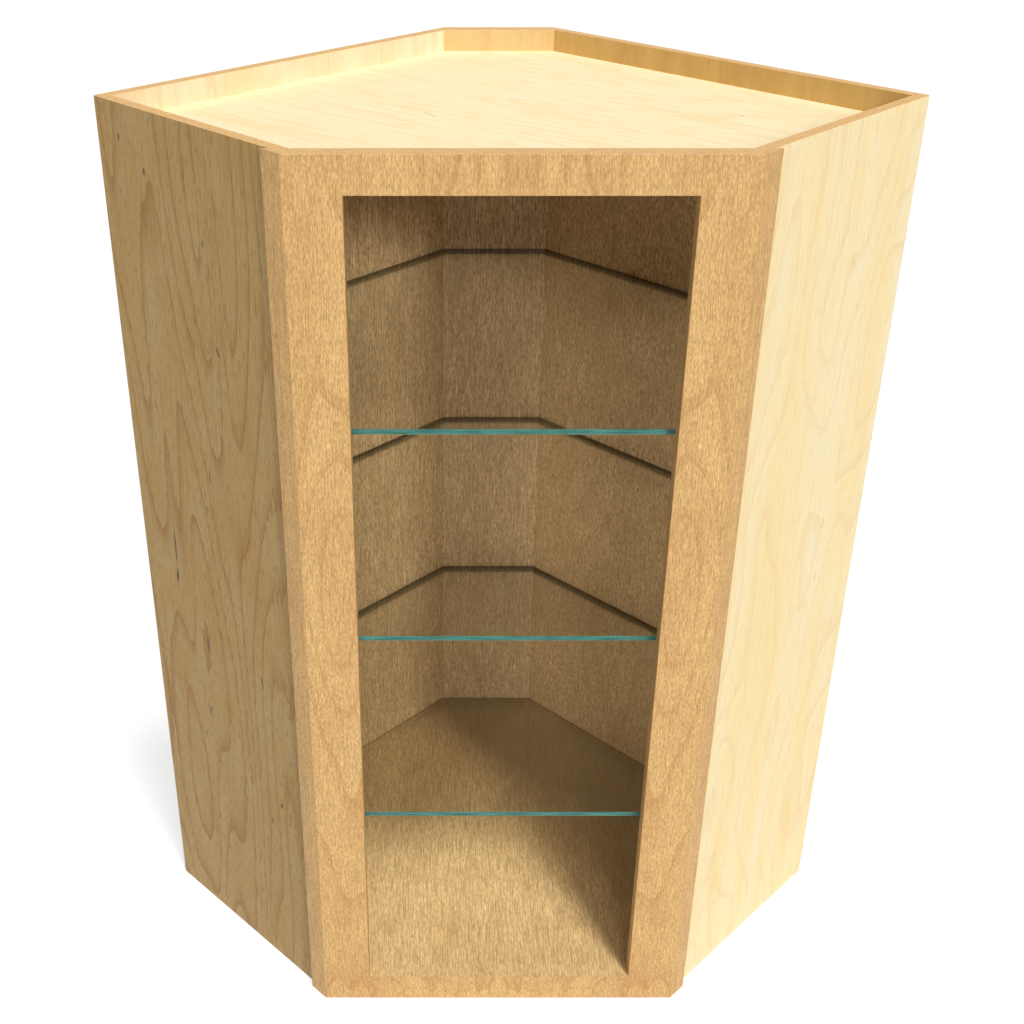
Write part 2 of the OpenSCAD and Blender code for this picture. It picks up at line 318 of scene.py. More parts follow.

# %% [markdown]
# No large sheet of birch is free of dark streaks, where a bud or a wound left mineral in the wood.
# A streak is placed as a long thin oval with a torn outline, and a finish may use this group as
# often as its sheet has streaks.

# %% Mineral streak
streak_group, given, result = group(
    "mineral_streak",
    [("Ruler", "Vector", None), ("Across", "Float", 0.1), ("Along", "Float", 0.5),
     ("Half Width", "Float", 0.0015), ("Half Length", "Float", 0.012), ("Lean", "Float", 0.0)],
    [("Mask", "Float")])
tree = streak_group
across, along, _ = parts_of(tree, given["Ruler"])
torn = grain_noise(tree, vector(tree, sums(tree, "MULTIPLY", across, 500),
                                sums(tree, "MULTIPLY", along, 90), 0.0), 2)
torn = sums(tree, "MULTIPLY_ADD", torn, 1.6, -0.8)
up = sums(tree, "SUBTRACT", along, given["Along"])
aside = sums(tree, "SUBTRACT", across, given["Across"])
aside = sums(tree, "SUBTRACT", aside, sums(tree, "MULTIPLY", up, given["Lean"]))
aside = sums(tree, "ADD", sums(tree, "DIVIDE", aside, given["Half Width"]), torn)
up = sums(tree, "DIVIDE", up, given["Half Length"])
far = sums(tree, "ADD", sums(tree, "MULTIPLY", aside, aside), sums(tree, "MULTIPLY", up, up))
tree.links.new(rise(tree, far, 1.4, 0.2), result.inputs["Mask"])
print("mineral streak: a group with", len(tree.nodes), "nodes")

# %% [markdown]
# One recipe makes every wood face. It starts with the ground colour, lets wide soft patches and
# the bands between rings drift towards a second colour, then draws the ring lines, two sizes of
# dashes and the streaks. The same masks roughen the clear coat a little and press the lines and
# the dashes into the surface.


# %% Recipe for a wood finish
def wood(name, ground, drift, line, dash, figure, fleck, hair, amounts, streaks=(), swell=None,
         streak_colour=(75, 54, 36), booked=False, rough=0.5, patch=(26, 9)):
    made, tree, surface = material(name)
    ruler = read_ruler(tree)
    if booked:
        across, along, through = parts_of(tree, ruler)
        ruler = vector(tree, sums(tree, "ABSOLUTE", across), along, through)
    across, along, through = parts_of(tree, ruler)
    if swell:
        figure = dict(figure, Swell=swell(tree, across, along))
    rings = place_group(tree, rings_group, Ruler=ruler, **figure)
    flecks = place_group(tree, dashes_group, Ruler=ruler, **fleck)["Mask"]
    hairs = place_group(tree, dashes_group, Ruler=ruler, **hair)["Mask"]
    patches = grain_noise(tree, vector(tree, sums(tree, "MULTIPLY", across, patch[0]),
                                       sums(tree, "MULTIPLY", along, patch[1]),
                                       sums(tree, "MULTIPLY", through, 150)), 3)
    band, ring, spot, fine = amounts
    soft = sums(tree, "MULTIPLY", rise(tree, patches, 0.35, 0.7), band)
    colour = tint(tree, shade(*ground), shade(*drift), soft)
    colour = tint(tree, colour, shade(*drift), sums(tree, "MULTIPLY", rings["Band"], band))
    colour = tint(tree, colour, shade(*line), sums(tree, "MULTIPLY", rings["Line"], ring))
    colour = tint(tree, colour, shade(*dash), sums(tree, "MULTIPLY", flecks, spot))
    colour = tint(tree, colour, shade(*dash), sums(tree, "MULTIPLY", hairs, fine))
    labels = ("Across", "Along", "Half_Width", "Half_Length", "Lean")
    for *placing, depth in streaks:
        mask = place_group(tree, streak_group, Ruler=ruler, **dict(zip(labels, placing)))["Mask"]
        colour = tint(tree, colour, shade(*streak_colour), sums(tree, "MULTIPLY", mask, depth))
    tree.links.new(colour, surface.inputs["Base Color"])
    tree.links.new(sums(tree, "MULTIPLY_ADD", flecks, 0.1, rough), surface.inputs["Roughness"])
    pressed = sums(tree, "ADD", flecks, sums(tree, "ADD", hairs, rings["Line"]))
    bump = node(tree, "ShaderNodeBump", {"Height": pressed, "Strength": 0.35,
                                         "Distance": 0.00012}, invert=True)
    tree.links.new(bump.outputs[0], surface.inputs["Normal"])
    surface.inputs["Specular IOR Level"].default_value = 0.35
    return made


print("the recipe takes a ground colour, three more colours and the sizes of its figure")

# %% [markdown]
# The frame is maple under a honey stain. The stain settles in the dashes, which gives the wood
# its busy speckle. Its two stiles were cut side by side and opened like a book, so their figure
# mirrors: a nest of faint ovals stands halfway up each of them. The rails are laid out with
# upright grain too, and no joint shows.


# %% Maple of the frame
def oval_nest(tree, across, along):
    """A low hill at the middle of each stile, whose contour lines are nested ovals."""
    aside = sums(tree, "DIVIDE", sums(tree, "SUBTRACT", across, 0.186), 0.034)
    up = sums(tree, "DIVIDE", sums(tree, "SUBTRACT", along, 0.632), 0.17)
    far = sums(tree, "ADD", sums(tree, "MULTIPLY", aside, aside), sums(tree, "MULTIPLY", up, up))
    return sums(tree, "MULTIPLY", sums(tree, "POWER", 0.5, far), 3.2)


honey_maple = wood(
    "honey_maple", ground=(249, 206, 136), drift=(224, 176, 113), line=(204, 150, 86),
    dash=(160, 118, 72), figure=dict(Across=9.0, Along=2.2, Rings=7.0, Ragged=0.006),
    fleck=dict(Width=0.00042, Length=0.0025, From=0.3, To=0.78),
    hair=dict(Width=0.00045, Length=0.011, From=0.3, To=0.8),
    amounts=(0.5, 0.65, 0.68, 0.55), swell=oval_nest, booked=True, rough=0.48)
print("made", honey_maple.name)

# %% [markdown]
# In plan the inside follows from four measures: where the corner of the room is, and how far
# from it the linings of an end, a back and the corner board lie. The glass shelves stop a
# little short of every lining and hang at equal steps. The lining's finish reads these numbers,
# and so does the glass.

# %% Measures of the inside
room_corner = 0.357414
end_lining, back_lining, corner_lining = 0.59055, 0.0127, 0.08625
shelf_play = 0.0015
first_underside, shelf_step = 0.28094, 0.24923
print("glass stops", shelf_play * 1000, "mm short of the linings, a shelf each", shelf_step, "m")

# %% [markdown]
# The inside is lined in the same honey colour. It is plywood, so its dashes are finer and longer
# than the frame's, and they run in upright lines on the walls and towards the viewer on the floor.
# The foot of the walls and the floor's right side and rear, where the right stile's shadow falls
# and little light reaches, are painted darker: this is painted shade. The floor's own honey is also
# a little darker than the walls', partly painted shade as well. A fine dark line marks the joint
# between floor and walls.


# %% Honey lining
def from_the_walls(tree, play):
    """How far a point lies from the nearest lined wall, less the play left there."""
    x, y, _ = parts_of(tree, object_place(tree))
    aside = sums(tree, "ABSOLUTE", x)
    deep = sums(tree, "SUBTRACT", room_corner, y)
    slant = 2 ** -0.5
    back = sums(tree, "MULTIPLY_ADD", sums(tree, "SUBTRACT", deep, aside), slant,
                -back_lining - play)
    end = sums(tree, "MULTIPLY_ADD", sums(tree, "ADD", deep, aside), -slant, end_lining - play)
    clip = sums(tree, "SUBTRACT", deep, corner_lining + play)
    return sums(tree, "MINIMUM", clip, sums(tree, "MINIMUM", back, end))


def honey(name, ground, drift, line, dash, spot, fine):
    return wood(name, ground, drift, line, dash,
                figure=dict(Across=7.0, Along=1.4, Rings=6.0, Ragged=0.006),
                fleck=dict(Width=0.00055, Length=0.0036, From=0.34, To=0.72),
                hair=dict(Width=0.0005, Length=0.02, From=0.34, To=0.74),
                amounts=(0.5, 0.35, spot, fine), rough=0.5)


def lay_over(finish, colour, mask):
    """Lays one more colour over a finish, as far as the mask says."""
    base = finish.node_tree.nodes["Principled BSDF"].inputs["Base Color"]
    below = base.links[0].from_socket
    finish.node_tree.links.new(tint(finish.node_tree, below, colour, mask), base)


lining_honey = honey("lining_honey", (254, 220, 164), (234, 196, 140), (204, 168, 114),
                     (164, 130, 84), 0.95, 0.8)
floor_honey = honey("floor_honey", (242, 209, 150), (220, 184, 126), (192, 156, 106),
                    (158, 126, 80), 0.65, 0.75)
painted_shade_honey, dark_joint = shade(108, 90, 62), shade(60, 42, 24)
# How much painted shade colour lies over the honey at the foot of the walls and on the floor's
# right side and rear, and how much of the dark colour along the joint.
foot_painted_shade, right_painted_shade, rear_painted_shade, most_painted_shade, joint_stain = 0.2, 0.58, 0.46, 0.72, 0.75
tree = lining_honey.node_tree
# Painted shade: the lining grows darker towards the foot of the walls, below the lower shelf.
foot = rise(tree, parts_of(tree, object_place(tree))["Z"], 0.34, 0.24)
lay_over(lining_honey, painted_shade_honey, sums(tree, "MULTIPLY", foot, foot_painted_shade))
tree = floor_honey.node_tree
x, y, _ = parts_of(tree, object_place(tree))
# Painted shadow: the floor darkens behind the right stile along its shadow's edge, and towards the
# rear.
right = sums(tree, "MULTIPLY_ADD", x, 0.891, sums(tree, "MULTIPLY_ADD", y, 0.454, -0.02))
right = sums(tree, "MULTIPLY", rise(tree, right, -0.01, 0.09), right_painted_shade)
rear = sums(tree, "MULTIPLY_ADD", x, 0.5, y)
rear = sums(tree, "MULTIPLY", rise(tree, rear, 0.04, 0.24), rear_painted_shade)
shaded = sums(tree, "MINIMUM", sums(tree, "ADD", right, rear), most_painted_shade)
lay_over(floor_honey, painted_shade_honey, shaded)
joint = rise(tree, from_the_walls(tree, 0.0), 0.0022, 0.001)
lay_over(floor_honey, dark_joint, sums(tree, "MULTIPLY", joint, joint_stain))
print("made", lining_honey.name, "and", floor_honey.name)

# %% [markdown]
# The ends are pale birch plywood under a clear coat. The sheet on the right is creamy, with faint
# wandering rings. The sheet on the left is darker, greyer and browner, partly its own tone and
# partly painted shade, because that end faces away from the brightest lamps; its rings are drawn in
# red-brown, and a chain of dark streaks runs down it.


# %% Birch of the two ends
def edge_lines(tree, across, along):
    """The rings crowd into straight lines towards the cabinet's front."""
    near = sums(tree, "MAXIMUM", sums(tree, "SUBTRACT", across, 0.17), 0.0)
    return sums(tree, "MULTIPLY", sums(tree, "MULTIPLY", near, near), 420)


left_streaks = [
    (0.0625, 0.556, 0.0016, 0.026, 0.02, 0.85), (0.0605, 0.514, 0.0024, 0.011, 0.12, 0.95),
    (0.110, 0.441, 0.0014, 0.013, 0.0, 0.85), (0.113, 0.412, 0.0010, 0.006, -0.2, 0.7),
    (0.103, 0.337, 0.0026, 0.008, 0.2, 0.55), (0.088, 0.294, 0.0016, 0.005, 0.2, 0.6),
    (0.055, 0.353, 0.0010, 0.008, -0.3, 0.6), (0.145, 0.679, 0.0012, 0.009, 0.0, 0.75),
    (0.134, 0.632, 0.0009, 0.008, 0.1, 0.5), (0.224, 0.665, 0.0009, 0.009, 0.0, 0.5),
    (0.212, 0.436, 0.0018, 0.010, -0.1, 0.6), (0.234, 0.519, 0.0009, 0.007, 0.0, 0.5),
    (0.233, 0.265, 0.0022, 0.004, 0.0, 0.9), (0.212, 0.228, 0.0012, 0.007, 0.3, 0.6),
    (0.100, 0.166, 0.0012, 0.006, 0.2, 0.5), (0.027, 0.145, 0.0010, 0.007, 0.0, 0.5),
    (0.038, 1.031, 0.0016, 0.005, 0.0, 0.75), (0.078, 1.003, 0.0024, 0.005, 0.0, 0.85),
    (0.169, 0.950, 0.0014, 0.005, 0.1, 0.65), (0.175, 0.922, 0.0010, 0.009, 0.0, 0.45),
    (0.179, 0.837, 0.0020, 0.006, -0.2, 0.7), (0.248, 0.904, 0.0009, 0.010, 0.0, 0.5)]
# Painted shade: the left end's colours are kept darker than the right end's for the shade on that
# side.
end_birch_left_painted_shade = wood(
    "end_birch_left_painted_shade", ground=(187, 158, 104), drift=(180, 142, 77), line=(146, 92, 32),
    dash=(146, 106, 52), figure=dict(Across=7.0, Along=0.75, Rings=24.0, Ragged=0.011),
    fleck=dict(Width=0.0009, Length=0.007, From=0.5, To=0.7),
    hair=dict(Width=0.0007, Length=0.05, From=0.5, To=0.75),
    amounts=(0.8, 0.75, 0.45, 0.45), streaks=left_streaks, swell=edge_lines, rough=0.52)
end_birch_right = wood(
    "end_birch_right", ground=(251, 236, 196), drift=(252, 226, 164), line=(236, 196, 132),
    dash=(240, 204, 142), figure=dict(Across=7.0, Along=2.0, Rings=12.0, Ragged=0.012),
    fleck=dict(Width=0.0016, Length=0.014, From=0.54, To=0.76),
    hair=dict(Width=0.0012, Length=0.06, From=0.46, To=0.8),
    amounts=(0.9, 0.4, 0.5, 0.35), patch=(22, 1.0),
    streaks=[(0.219, 0.596, 0.0009, 0.009, 0.0, 0.6), (0.219, 0.524, 0.0009, 0.008, 0.0, 0.6),
             (0.232, 0.845, 0.0008, 0.006, 0.0, 0.4), (0.206, 0.819, 0.0008, 0.006, 0.0, 0.4),
             (0.198, 0.915, 0.0008, 0.006, 0.0, 0.4)],
    streak_colour=(190, 148, 92), rough=0.52)
print("made", end_birch_left_painted_shade.name, "and", end_birch_right.name)

# %% [markdown]
# The top deck and the outer faces against the room are left bare. The deck's grain crosses it at a
# slant, because the deck was cut from the sheet's corner. Above the deck the walls of the recess
# show wide, soft, upright bands. Their finishes step from pale on the left wall to darker on the
# corner board and darkest and brownest on the right wall: partly each board's own tone, and partly
# painted shade for the walls that face away from the lamps.

# %% Bare birch
deck_birch = wood(
    "deck_birch", ground=(251, 234, 196), drift=(250, 229, 178), line=(238, 206, 142),
    dash=(238, 208, 146), figure=dict(Across=9.0, Along=0.6, Rings=22.0, Ragged=0.006),
    fleck=dict(Width=0.0014, Length=0.02, From=0.5, To=0.76),
    hair=dict(Width=0.0016, Length=0.12, From=0.46, To=0.75),
    amounts=(0.5, 0.5, 0.5, 0.4), streaks=[(0.0, 0.0, 0.0022, 0.003, 0.0, 0.5),
                                           (-0.189, 0.267, 0.0010, 0.014, 0.45, 0.5)],
    streak_colour=(170, 122, 78), rough=0.6)


def recess_birch(name, ground, drift, line, dash):
    return wood(name, ground, drift, line, dash,
                figure=dict(Across=22.0, Along=0.8, Rings=5.0, Ragged=0.004),
                fleck=dict(Width=0.0012, Length=0.02, From=0.6, To=0.76),
                hair=dict(Width=0.0008, Length=0.05, From=0.5, To=0.75),
                amounts=(0.7, 0.4, 0.3, 0.2), rough=0.6)


recess_birch_left = recess_birch("recess_birch_left", (250, 232, 202), (242, 212, 166),
                                 (226, 190, 136), (230, 200, 150))
# Painted shade: the corner board's finish is half shaded and the right wall's fully shaded copy of
# the recess birch.
recess_birch_corner_painted_half_shade = recess_birch("recess_birch_corner_painted_half_shade", (222, 192, 136), (210, 172, 112),
                                   (200, 160, 102), (204, 166, 112))
recess_birch_right_painted_shade = recess_birch("recess_birch_right_painted_shade", (212, 175, 106), (194, 152, 84),
                                  (182, 142, 82), (188, 150, 94))
wall_birch = wood(
    "wall_birch", ground=(240, 216, 168), drift=(226, 196, 144), line=(196, 152, 102),
    dash=(206, 168, 120), figure=dict(Across=6.0, Along=1.1, Rings=12.0, Ragged=0.008),
    fleck=dict(Width=0.0012, Length=0.01, From=0.58, To=0.76),
    hair=dict(Width=0.0007, Length=0.04, From=0.5, To=0.75),
    amounts=(0.5, 0.5, 0.4, 0.25), streaks=[
        (0.13, 0.36, 0.0016, 0.02, 0.1, 0.7), (0.31, 0.78, 0.0014, 0.014, -0.2, 0.6),
        (0.42, 0.22, 0.0012, 0.012, 0.0, 0.6)], streak_colour=(120, 84, 54), rough=0.62)
print("made", deck_birch.name, recess_birch_left.name, wall_birch.name)

# %% [markdown]
# A cut edge of plywood shows its layers: strips that lie along the edge look pale and smooth,
# and between them strips of end grain look darker and rough, with a few small gaps. The ruler's
# third number runs through the board, so it counts the layers.


# %% Cut edges of plywood
def ply_edge(name, layer, pale, dark):
    made, tree, surface = material(name)
    ruler = read_ruler(tree)
    wave = sums(tree, "MULTIPLY", grain_noise(tree, ruler, 2, scale=60), 0.3)
    depth = sums(tree, "ADD", sums(tree, "DIVIDE", parts_of(tree, ruler)["Z"], layer), wave)
    cross = rise(tree, sums(tree, "PINGPONG", depth, 1.0), 0.42, 0.58)
    mottle = rise(tree, grain_noise(tree, ruler, 3, scale=240), 0.38, 0.68)
    pores = rise(tree, grain_noise(tree, ruler, 2, scale=1400), 0.5, 0.72)
    colour = tint(tree, shade(*pale), shade(*dark), sums(tree, "MULTIPLY", cross, 0.75))
    colour = tint(tree, colour, shade(*dark), sums(tree, "MULTIPLY", mottle, 0.55))
    deep = tuple(value * 0.72 for value in dark)
    colour = tint(tree, colour, shade(*deep), sums(tree, "MULTIPLY", pores, cross))
    tree.links.new(colour, surface.inputs["Base Color"])
    tree.links.new(sums(tree, "MULTIPLY_ADD", cross, 0.15, 0.65), surface.inputs["Roughness"])
    bump = node(tree, "ShaderNodeBump", {"Height": sums(tree, "ADD", cross, pores),
                                         "Strength": 0.4, "Distance": 0.0002}, invert=True)
    tree.links.new(bump.outputs[0], surface.inputs["Normal"])
    return made


cut_edge = ply_edge("cut_edge", 0.0014, (236, 196, 132), (204, 156, 98))
print("made", cut_edge.name)

# %% [markdown]
# A board starts as a clean copy of its measured solid, so its grooves, rabbets, pin holes and
# screw holes stay where they are. Loose triangles are merged and flat areas joined. Only edges
# that a hand can reach are eased with sandpaper, which here is a narrow bevel of two steps.


# %% Tools for boards
def clean_copy(name):
    board = bmesh.new()
    board.from_mesh(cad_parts[name].data)
    for layer in list(board.loops.layers.float_vector):
        board.loops.layers.float_vector.remove(layer)
    bmesh.ops.remove_doubles(board, verts=board.verts, dist=1e-6)
    bmesh.ops.dissolve_limit(board, angle_limit=math.radians(0.5), verts=board.verts,
                             edges=board.edges)
    return board


def saw_marks(board, heights):
    """Cuts the mesh, not the board, at these heights, so that an easing can stop there."""
    for height in heights:
        everything = board.verts[:] + board.edges[:] + board.faces[:]
        bmesh.ops.bisect_plane(board, geom=everything, plane_co=(0, 0, height),
                               plane_no=(0, 0, 1), dist=1e-6)


def ease(board, width, wanted):
    """Bevels the long sharp outer edges that wanted(middle, direction) picks."""
    board.normal_update()
    picked = []
    for edge in board.edges:
        if len(edge.link_faces) != 2 or edge.calc_length() < 0.012:
            continue
        turn = edge.calc_face_angle_signed(0.0)
        middle = (edge.verts[0].co + edge.verts[1].co) / 2
        direction = (edge.verts[1].co - edge.verts[0].co).normalized()
        if turn > math.radians(30) and wanted(middle, direction):
            picked.append(edge)
    bmesh.ops.bevel(board, geom=picked, offset=width, offset_type="OFFSET", segments=2,
                    profile=0.5, affect="EDGES", clamp_overlap=True)


def finish_board(board, name, finishes, choose, across, along, start=(0, 0, 0),
                 turned_over=None):
    board.normal_update()
    for face in board.faces:
        face.material_index = finishes.index(choose(face.calc_center_median(), face.normal))
        face.smooth = True
    mesh = bpy.data.meshes.new(name + "_dressed")
    board.to_mesh(mesh)
    board.free()
    for stray in ("custom_normal", "sharp_face"):
        if stray in mesh.attributes:
            mesh.attributes.remove(mesh.attributes[stray])
    mesh.set_sharp_from_angle(angle=math.radians(20))
    for finish in finishes:
        mesh.materials.append(finish)
    lay_ruler(mesh, across, along, start, turned_over)
    piece = bpy.data.objects.new(name + "_dressed", mesh)
    bpy.context.scene.collection.objects.link(piece)
    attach(piece, "cabinet")
    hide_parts(name)
    print(piece.name, len(mesh.polygons), "faces")


rim_low, rim_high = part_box("left_side_panel")[0].z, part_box("left_side_panel")[1].z
deck_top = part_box("top_deck")[1].z
floor_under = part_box("bottom_deck")[0].z


def at_a_rim(middle, direction):
    return min(abs(middle.z - rim_low), abs(middle.z - rim_high)) < 1e-5


print("rims at", round(rim_low, 4), "and", round(rim_high, 4), "m, deck top at", round(deck_top, 4))

# %% [markdown]
# Five upright boards make the box: two ends, two backs against the room's walls and one narrow
# board that closes the cut corner. Each has three kinds of face: one that looks outwards, one
# that looks inwards (lined between the decks, bare above and below them) and cut edges. The last
# three numbers of a board say where its ruler starts.


# %% Upright boards
def wall_board(name, outwards, outer_finish, recess_finish, start):
    outwards = Vector(outwards).normalized()
    finishes = [outer_finish, lining_honey, recess_finish, cut_edge]

    def choose(middle, normal):
        if normal.dot(outwards) > 0.95:
            return outer_finish
        if normal.dot(outwards) < -0.95:
            outside = middle.z > deck_top or middle.z < floor_under
            return recess_finish if outside else lining_honey
        return cut_edge

    board = clean_copy(name)
    ease(board, 0.0004, at_a_rim)
    across = Vector((0, 0, 1)).cross(outwards)
    finish_board(board, name, finishes, choose,
                 across, (0, 0, 1), start)


wall_board("left_side_panel", (-1, -1, 0), end_birch_left_painted_shade, recess_birch_right_painted_shade,
           (-0.42656, -0.06919, 0))
wall_board("right_side_panel", (1, -1, 0), end_birch_right, recess_birch_left,
           (0.21553, -0.28916, 0))
wall_board("left_back_panel", (-1, 1, 0), wall_birch, recess_birch_left, (-0.06825, 0.28916, 0))
wall_board("right_back_panel", (1, 1, 0), wall_birch, recess_birch_right_painted_shade, (0.42182, -0.06400, -2))
wall_board("corner_back_panel", (0, 1, 0), wall_birch, recess_birch_corner_painted_half_shade, (0.3, 0, -4))

# %% [markdown]
# The two decks lie flat in grooves. The top one is bare above and lined below, where it is the
# ceiling of the inside. The bottom one is lined above, with its grain towards the viewer, and
# bare below.


# %% Decks
def flat_board(name, upper, lower, along, start):
    finishes = [upper, lower, cut_edge]

    def choose(middle, normal):
        if abs(normal.z) < 0.95:
            return cut_edge
        return upper if normal.z > 0 else lower

    along = Vector(along).normalized()
    across = along.cross(Vector((0, 0, 1)))
    finish_board(clean_copy(name), name, finishes, choose, across, along, start)


flat_board("top_deck", deck_birch, lining_honey, (-0.80, 0.60, 0), (0.242, -0.0527, 1.0414))
flat_board("bottom_deck", floor_honey, recess_birch_left, (0, 1, 0), (0, 0, 3))

# %% [markdown]
# The frame's rails stand between its stiles. Its outer arrises and those around the opening are
# eased, but a stile's inner arris is eased only between the rails, because at a glued joint
# there is no arris left to sand. The bottom rail's upper face continues the cabinet's floor, so it
# wears the floor's finish and its arris stays sharp.

# %% Face frame
opening_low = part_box("bottom_rail")[1].z
opening_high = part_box("top_rail")[0].z
front_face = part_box("top_rail")[0].y
stile_inner = 0.16053


def arris_of_stile(middle, direction):
    if abs(direction.z) < 0.9:
        return abs(direction.x) > 0.9 and at_a_rim(middle, direction)
    inner = abs(abs(middle.x) - stile_inner) < 1e-4
    return not inner or opening_low < middle.z < opening_high and middle.y < front_face + 0.001


def arris_of_rail(middle, direction):
    flush_with_floor = abs(middle.z - opening_low) < 1e-4
    return abs(direction.x) > 0.9 and middle.y < front_face + 0.001 and not flush_with_floor


for name, wanted in (("left_stile", arris_of_stile), ("right_stile", arris_of_stile),
                     ("top_rail", arris_of_rail), ("bottom_rail", arris_of_rail)):
    board = clean_copy(name)
    if "stile" in name:
        saw_marks(board, (opening_low, opening_high))
    ease(board, 0.0006, wanted)

    def on_the_floor(normal):
        return name == "bottom_rail" and normal.z > 0.95

    def choose(middle, normal):
        return floor_honey if on_the_floor(normal) else honey_maple

    finish_board(board, name, [honey_maple, floor_honey], choose, (1, 0, 0),
                 (0, 0, 1), turned_over=on_the_floor)

# %% [markdown]
# Glass looks clear through its faces and green through its edges, because there the light has
# crossed a hand's breadth of it. The faces are a clear glass that lets the lamps through, less of
# their light the flatter it comes, because the rest is mirrored. The front edge is polished and
# bright green, and its lower corner is eased to a narrow bevel; the pale line along that corner is
# a painted highlight. The edges along the walls are only ground, and they hold back light. Their
# near-black colour, and a dark veil painted on the faces along them, are painted shade for the dark
# line that these edges and their shadow make along the walls.


# %% Glass
def smears(tree, surface, most):
    """Dust and finger marks: patches where the surface is a trace less sharp."""
    place = object_place(tree)
    patch = rise(tree, grain_noise(tree, place, 3, scale=9), 0.45, 0.8)
    tree.links.new(sums(tree, "MULTIPLY", patch, most), surface.inputs["Roughness"])


def clear_glass(name, clear, dark, straight, grazing, coat=1.0):
    made, tree, surface = material(name)
    leaving = node(tree, "ShaderNodeNewGeometry").outputs["Backfacing"]
    # Painted shade: the faces that a ray leaves darken within about a centimetre of the walls.
    near_wall = rise(tree, from_the_walls(tree, shelf_play), 0.012, 0.004)
    painted_shade_veil = sums(tree, "MULTIPLY", near_wall, leaving)
    tree.links.new(tint(tree, (*clear, 1), (*dark, 1), painted_shade_veil), surface.inputs["Base Color"])
    surface.inputs["Transmission Weight"].default_value = 1
    surface.inputs["IOR"].default_value = 1.01
    surface.inputs["Coat Weight"].default_value = coat
    surface.inputs["Coat IOR"].default_value = 1.5
    surface.inputs["Coat Roughness"].default_value = 0.01
    smears(tree, surface, 0.015)
    lamp_ray = node(tree, "ShaderNodeLightPath").outputs["Is Shadow Ray"]
    slant = node(tree, "ShaderNodeLayerWeight", {"Blend": 0.5}).outputs["Facing"]
    let_through = node(tree, "ShaderNodeBsdfTransparent", {
        "Color": tint(tree, (*straight, 1), (*grazing, 1), slant)})
    both = node(tree, "ShaderNodeMixShader", {0: lamp_ray, 1: surface.outputs[0],
                                              2: let_through.outputs[0]})
    tree.links.new(both.outputs[0], tree.nodes["Material Output"].inputs["Surface"])
    return made


def edge_glass(name, deep, pale, rough, spread):
    made, tree, surface = material(name)
    x, y, z = parts_of(tree, object_place(tree))
    run = vector(tree, sums(tree, "MULTIPLY", x, 30), sums(tree, "MULTIPLY", y, 30),
                 sums(tree, "MULTIPLY", z, 700))
    glow = rise(tree, grain_noise(tree, run, 2), 0.3, 0.75)
    colour = tint(tree, shade(*deep), shade(*pale), sums(tree, "MULTIPLY", glow, spread))
    # Painted highlight: a pale line along the bottom of each front edge, on its eased corner.
    above = sums(tree, "MODULO", sums(tree, "ADD", z, shelf_step - first_underside), shelf_step)
    bevel = rise(tree, above, 0.0008, 0.0003)
    colour = tint(tree, colour, shade(160, 168, 140), bevel)
    tree.links.new(colour, surface.inputs["Base Color"])
    tree.links.new(sums(tree, "MULTIPLY_ADD", glow, 0.08, rough), surface.inputs["Roughness"])
    surface.inputs["IOR"].default_value = 1.5
    return made


# The second colour is the painted shade of the veil along the walls.
face_glass = clear_glass("face_glass", (0.975, 0.992, 0.985), (0.14, 0.14, 0.13),
                         (0.94, 0.95, 0.945), (0.6, 0.62, 0.61))
front_edge_glass = edge_glass("front_edge_glass", (26, 94, 84), (84, 158, 144), 0.12, 0.7)
# Painted shade: the ground edges' near-black colour stands for the dark line of the edge and its
# shadow.
ground_edge_glass = clear_glass("ground_edge_glass", (0.06, 0.06, 0.056), (0.06, 0.06, 0.056),
                                (0.3, 0.31, 0.3), (0.3, 0.31, 0.3), coat=0.2)
print("made", face_glass.name, front_edge_glass.name, ground_edge_glass.name)

# %% [markdown]
# A shelf's outline follows from the cabinet: it is the inside of the box, drawn in by a little
# play on every side. So the shelf is a rule, not a drawing, and Geometry Nodes hold the rule: a
# circle of six points, each moved to its corner, filled, thickened and closed below. The corners
# come from how far the linings of the end, the back and the corner board lie from the corner of
# the room. One tree then cuts all three shelves, each at its own height.


# %% Tree for a glass shelf
def set_materials(tree, solid, choices):
    for chosen, finish in choices:
        inputs = {"Geometry": solid, "Material": finish}
        if chosen is not None:
            inputs["Selection"] = chosen
        solid = node(tree, "GeometryNodeSetMaterial", inputs).outputs[0]
    return solid


shelf_tree, given, result = group(
    "glass_shelf",
    [("Geometry", "Geometry", None), ("Room Corner", "Float", 0.0), ("End Lining", "Float", 0.0),
     ("Back Lining", "Float", 0.0), ("Corner Lining", "Float", 0.0), ("Front", "Float", 0.0),
     ("Play", "Float", 0.0), ("Underside", "Float", 0.0), ("Thickness", "Float", 0.0),
     ("Face", "Material", None), ("Front Edge", "Material", None), ("Wall Edge", "Material", None)],
    [("Geometry", "Geometry")], family="GeometryNodeTree")
tree = shelf_tree
root = math.sqrt(2)
end = sums(tree, "SUBTRACT", given["End Lining"], given["Play"])
back = sums(tree, "ADD", given["Back Lining"], given["Play"])
clip = sums(tree, "ADD", given["Corner Lining"], given["Play"])
half_widths = [sums(tree, "SUBTRACT", sums(tree, "MULTIPLY", end, root), given["Front"]),
               sums(tree, "DIVIDE", sums(tree, "SUBTRACT", end, back), root),
               sums(tree, "SUBTRACT", clip, sums(tree, "MULTIPLY", back, root))]
depths = [given["Front"], sums(tree, "DIVIDE", sums(tree, "ADD", end, back), root), clip]
corners = []
for side, order in ((1, (0, 1, 2)), (-1, (2, 1, 0))):
    for number in order:
        corners.append(vector(tree, sums(tree, "MULTIPLY", half_widths[number], side),
                              sums(tree, "SUBTRACT", given["Room Corner"], depths[number]),
                              given["Underside"]))
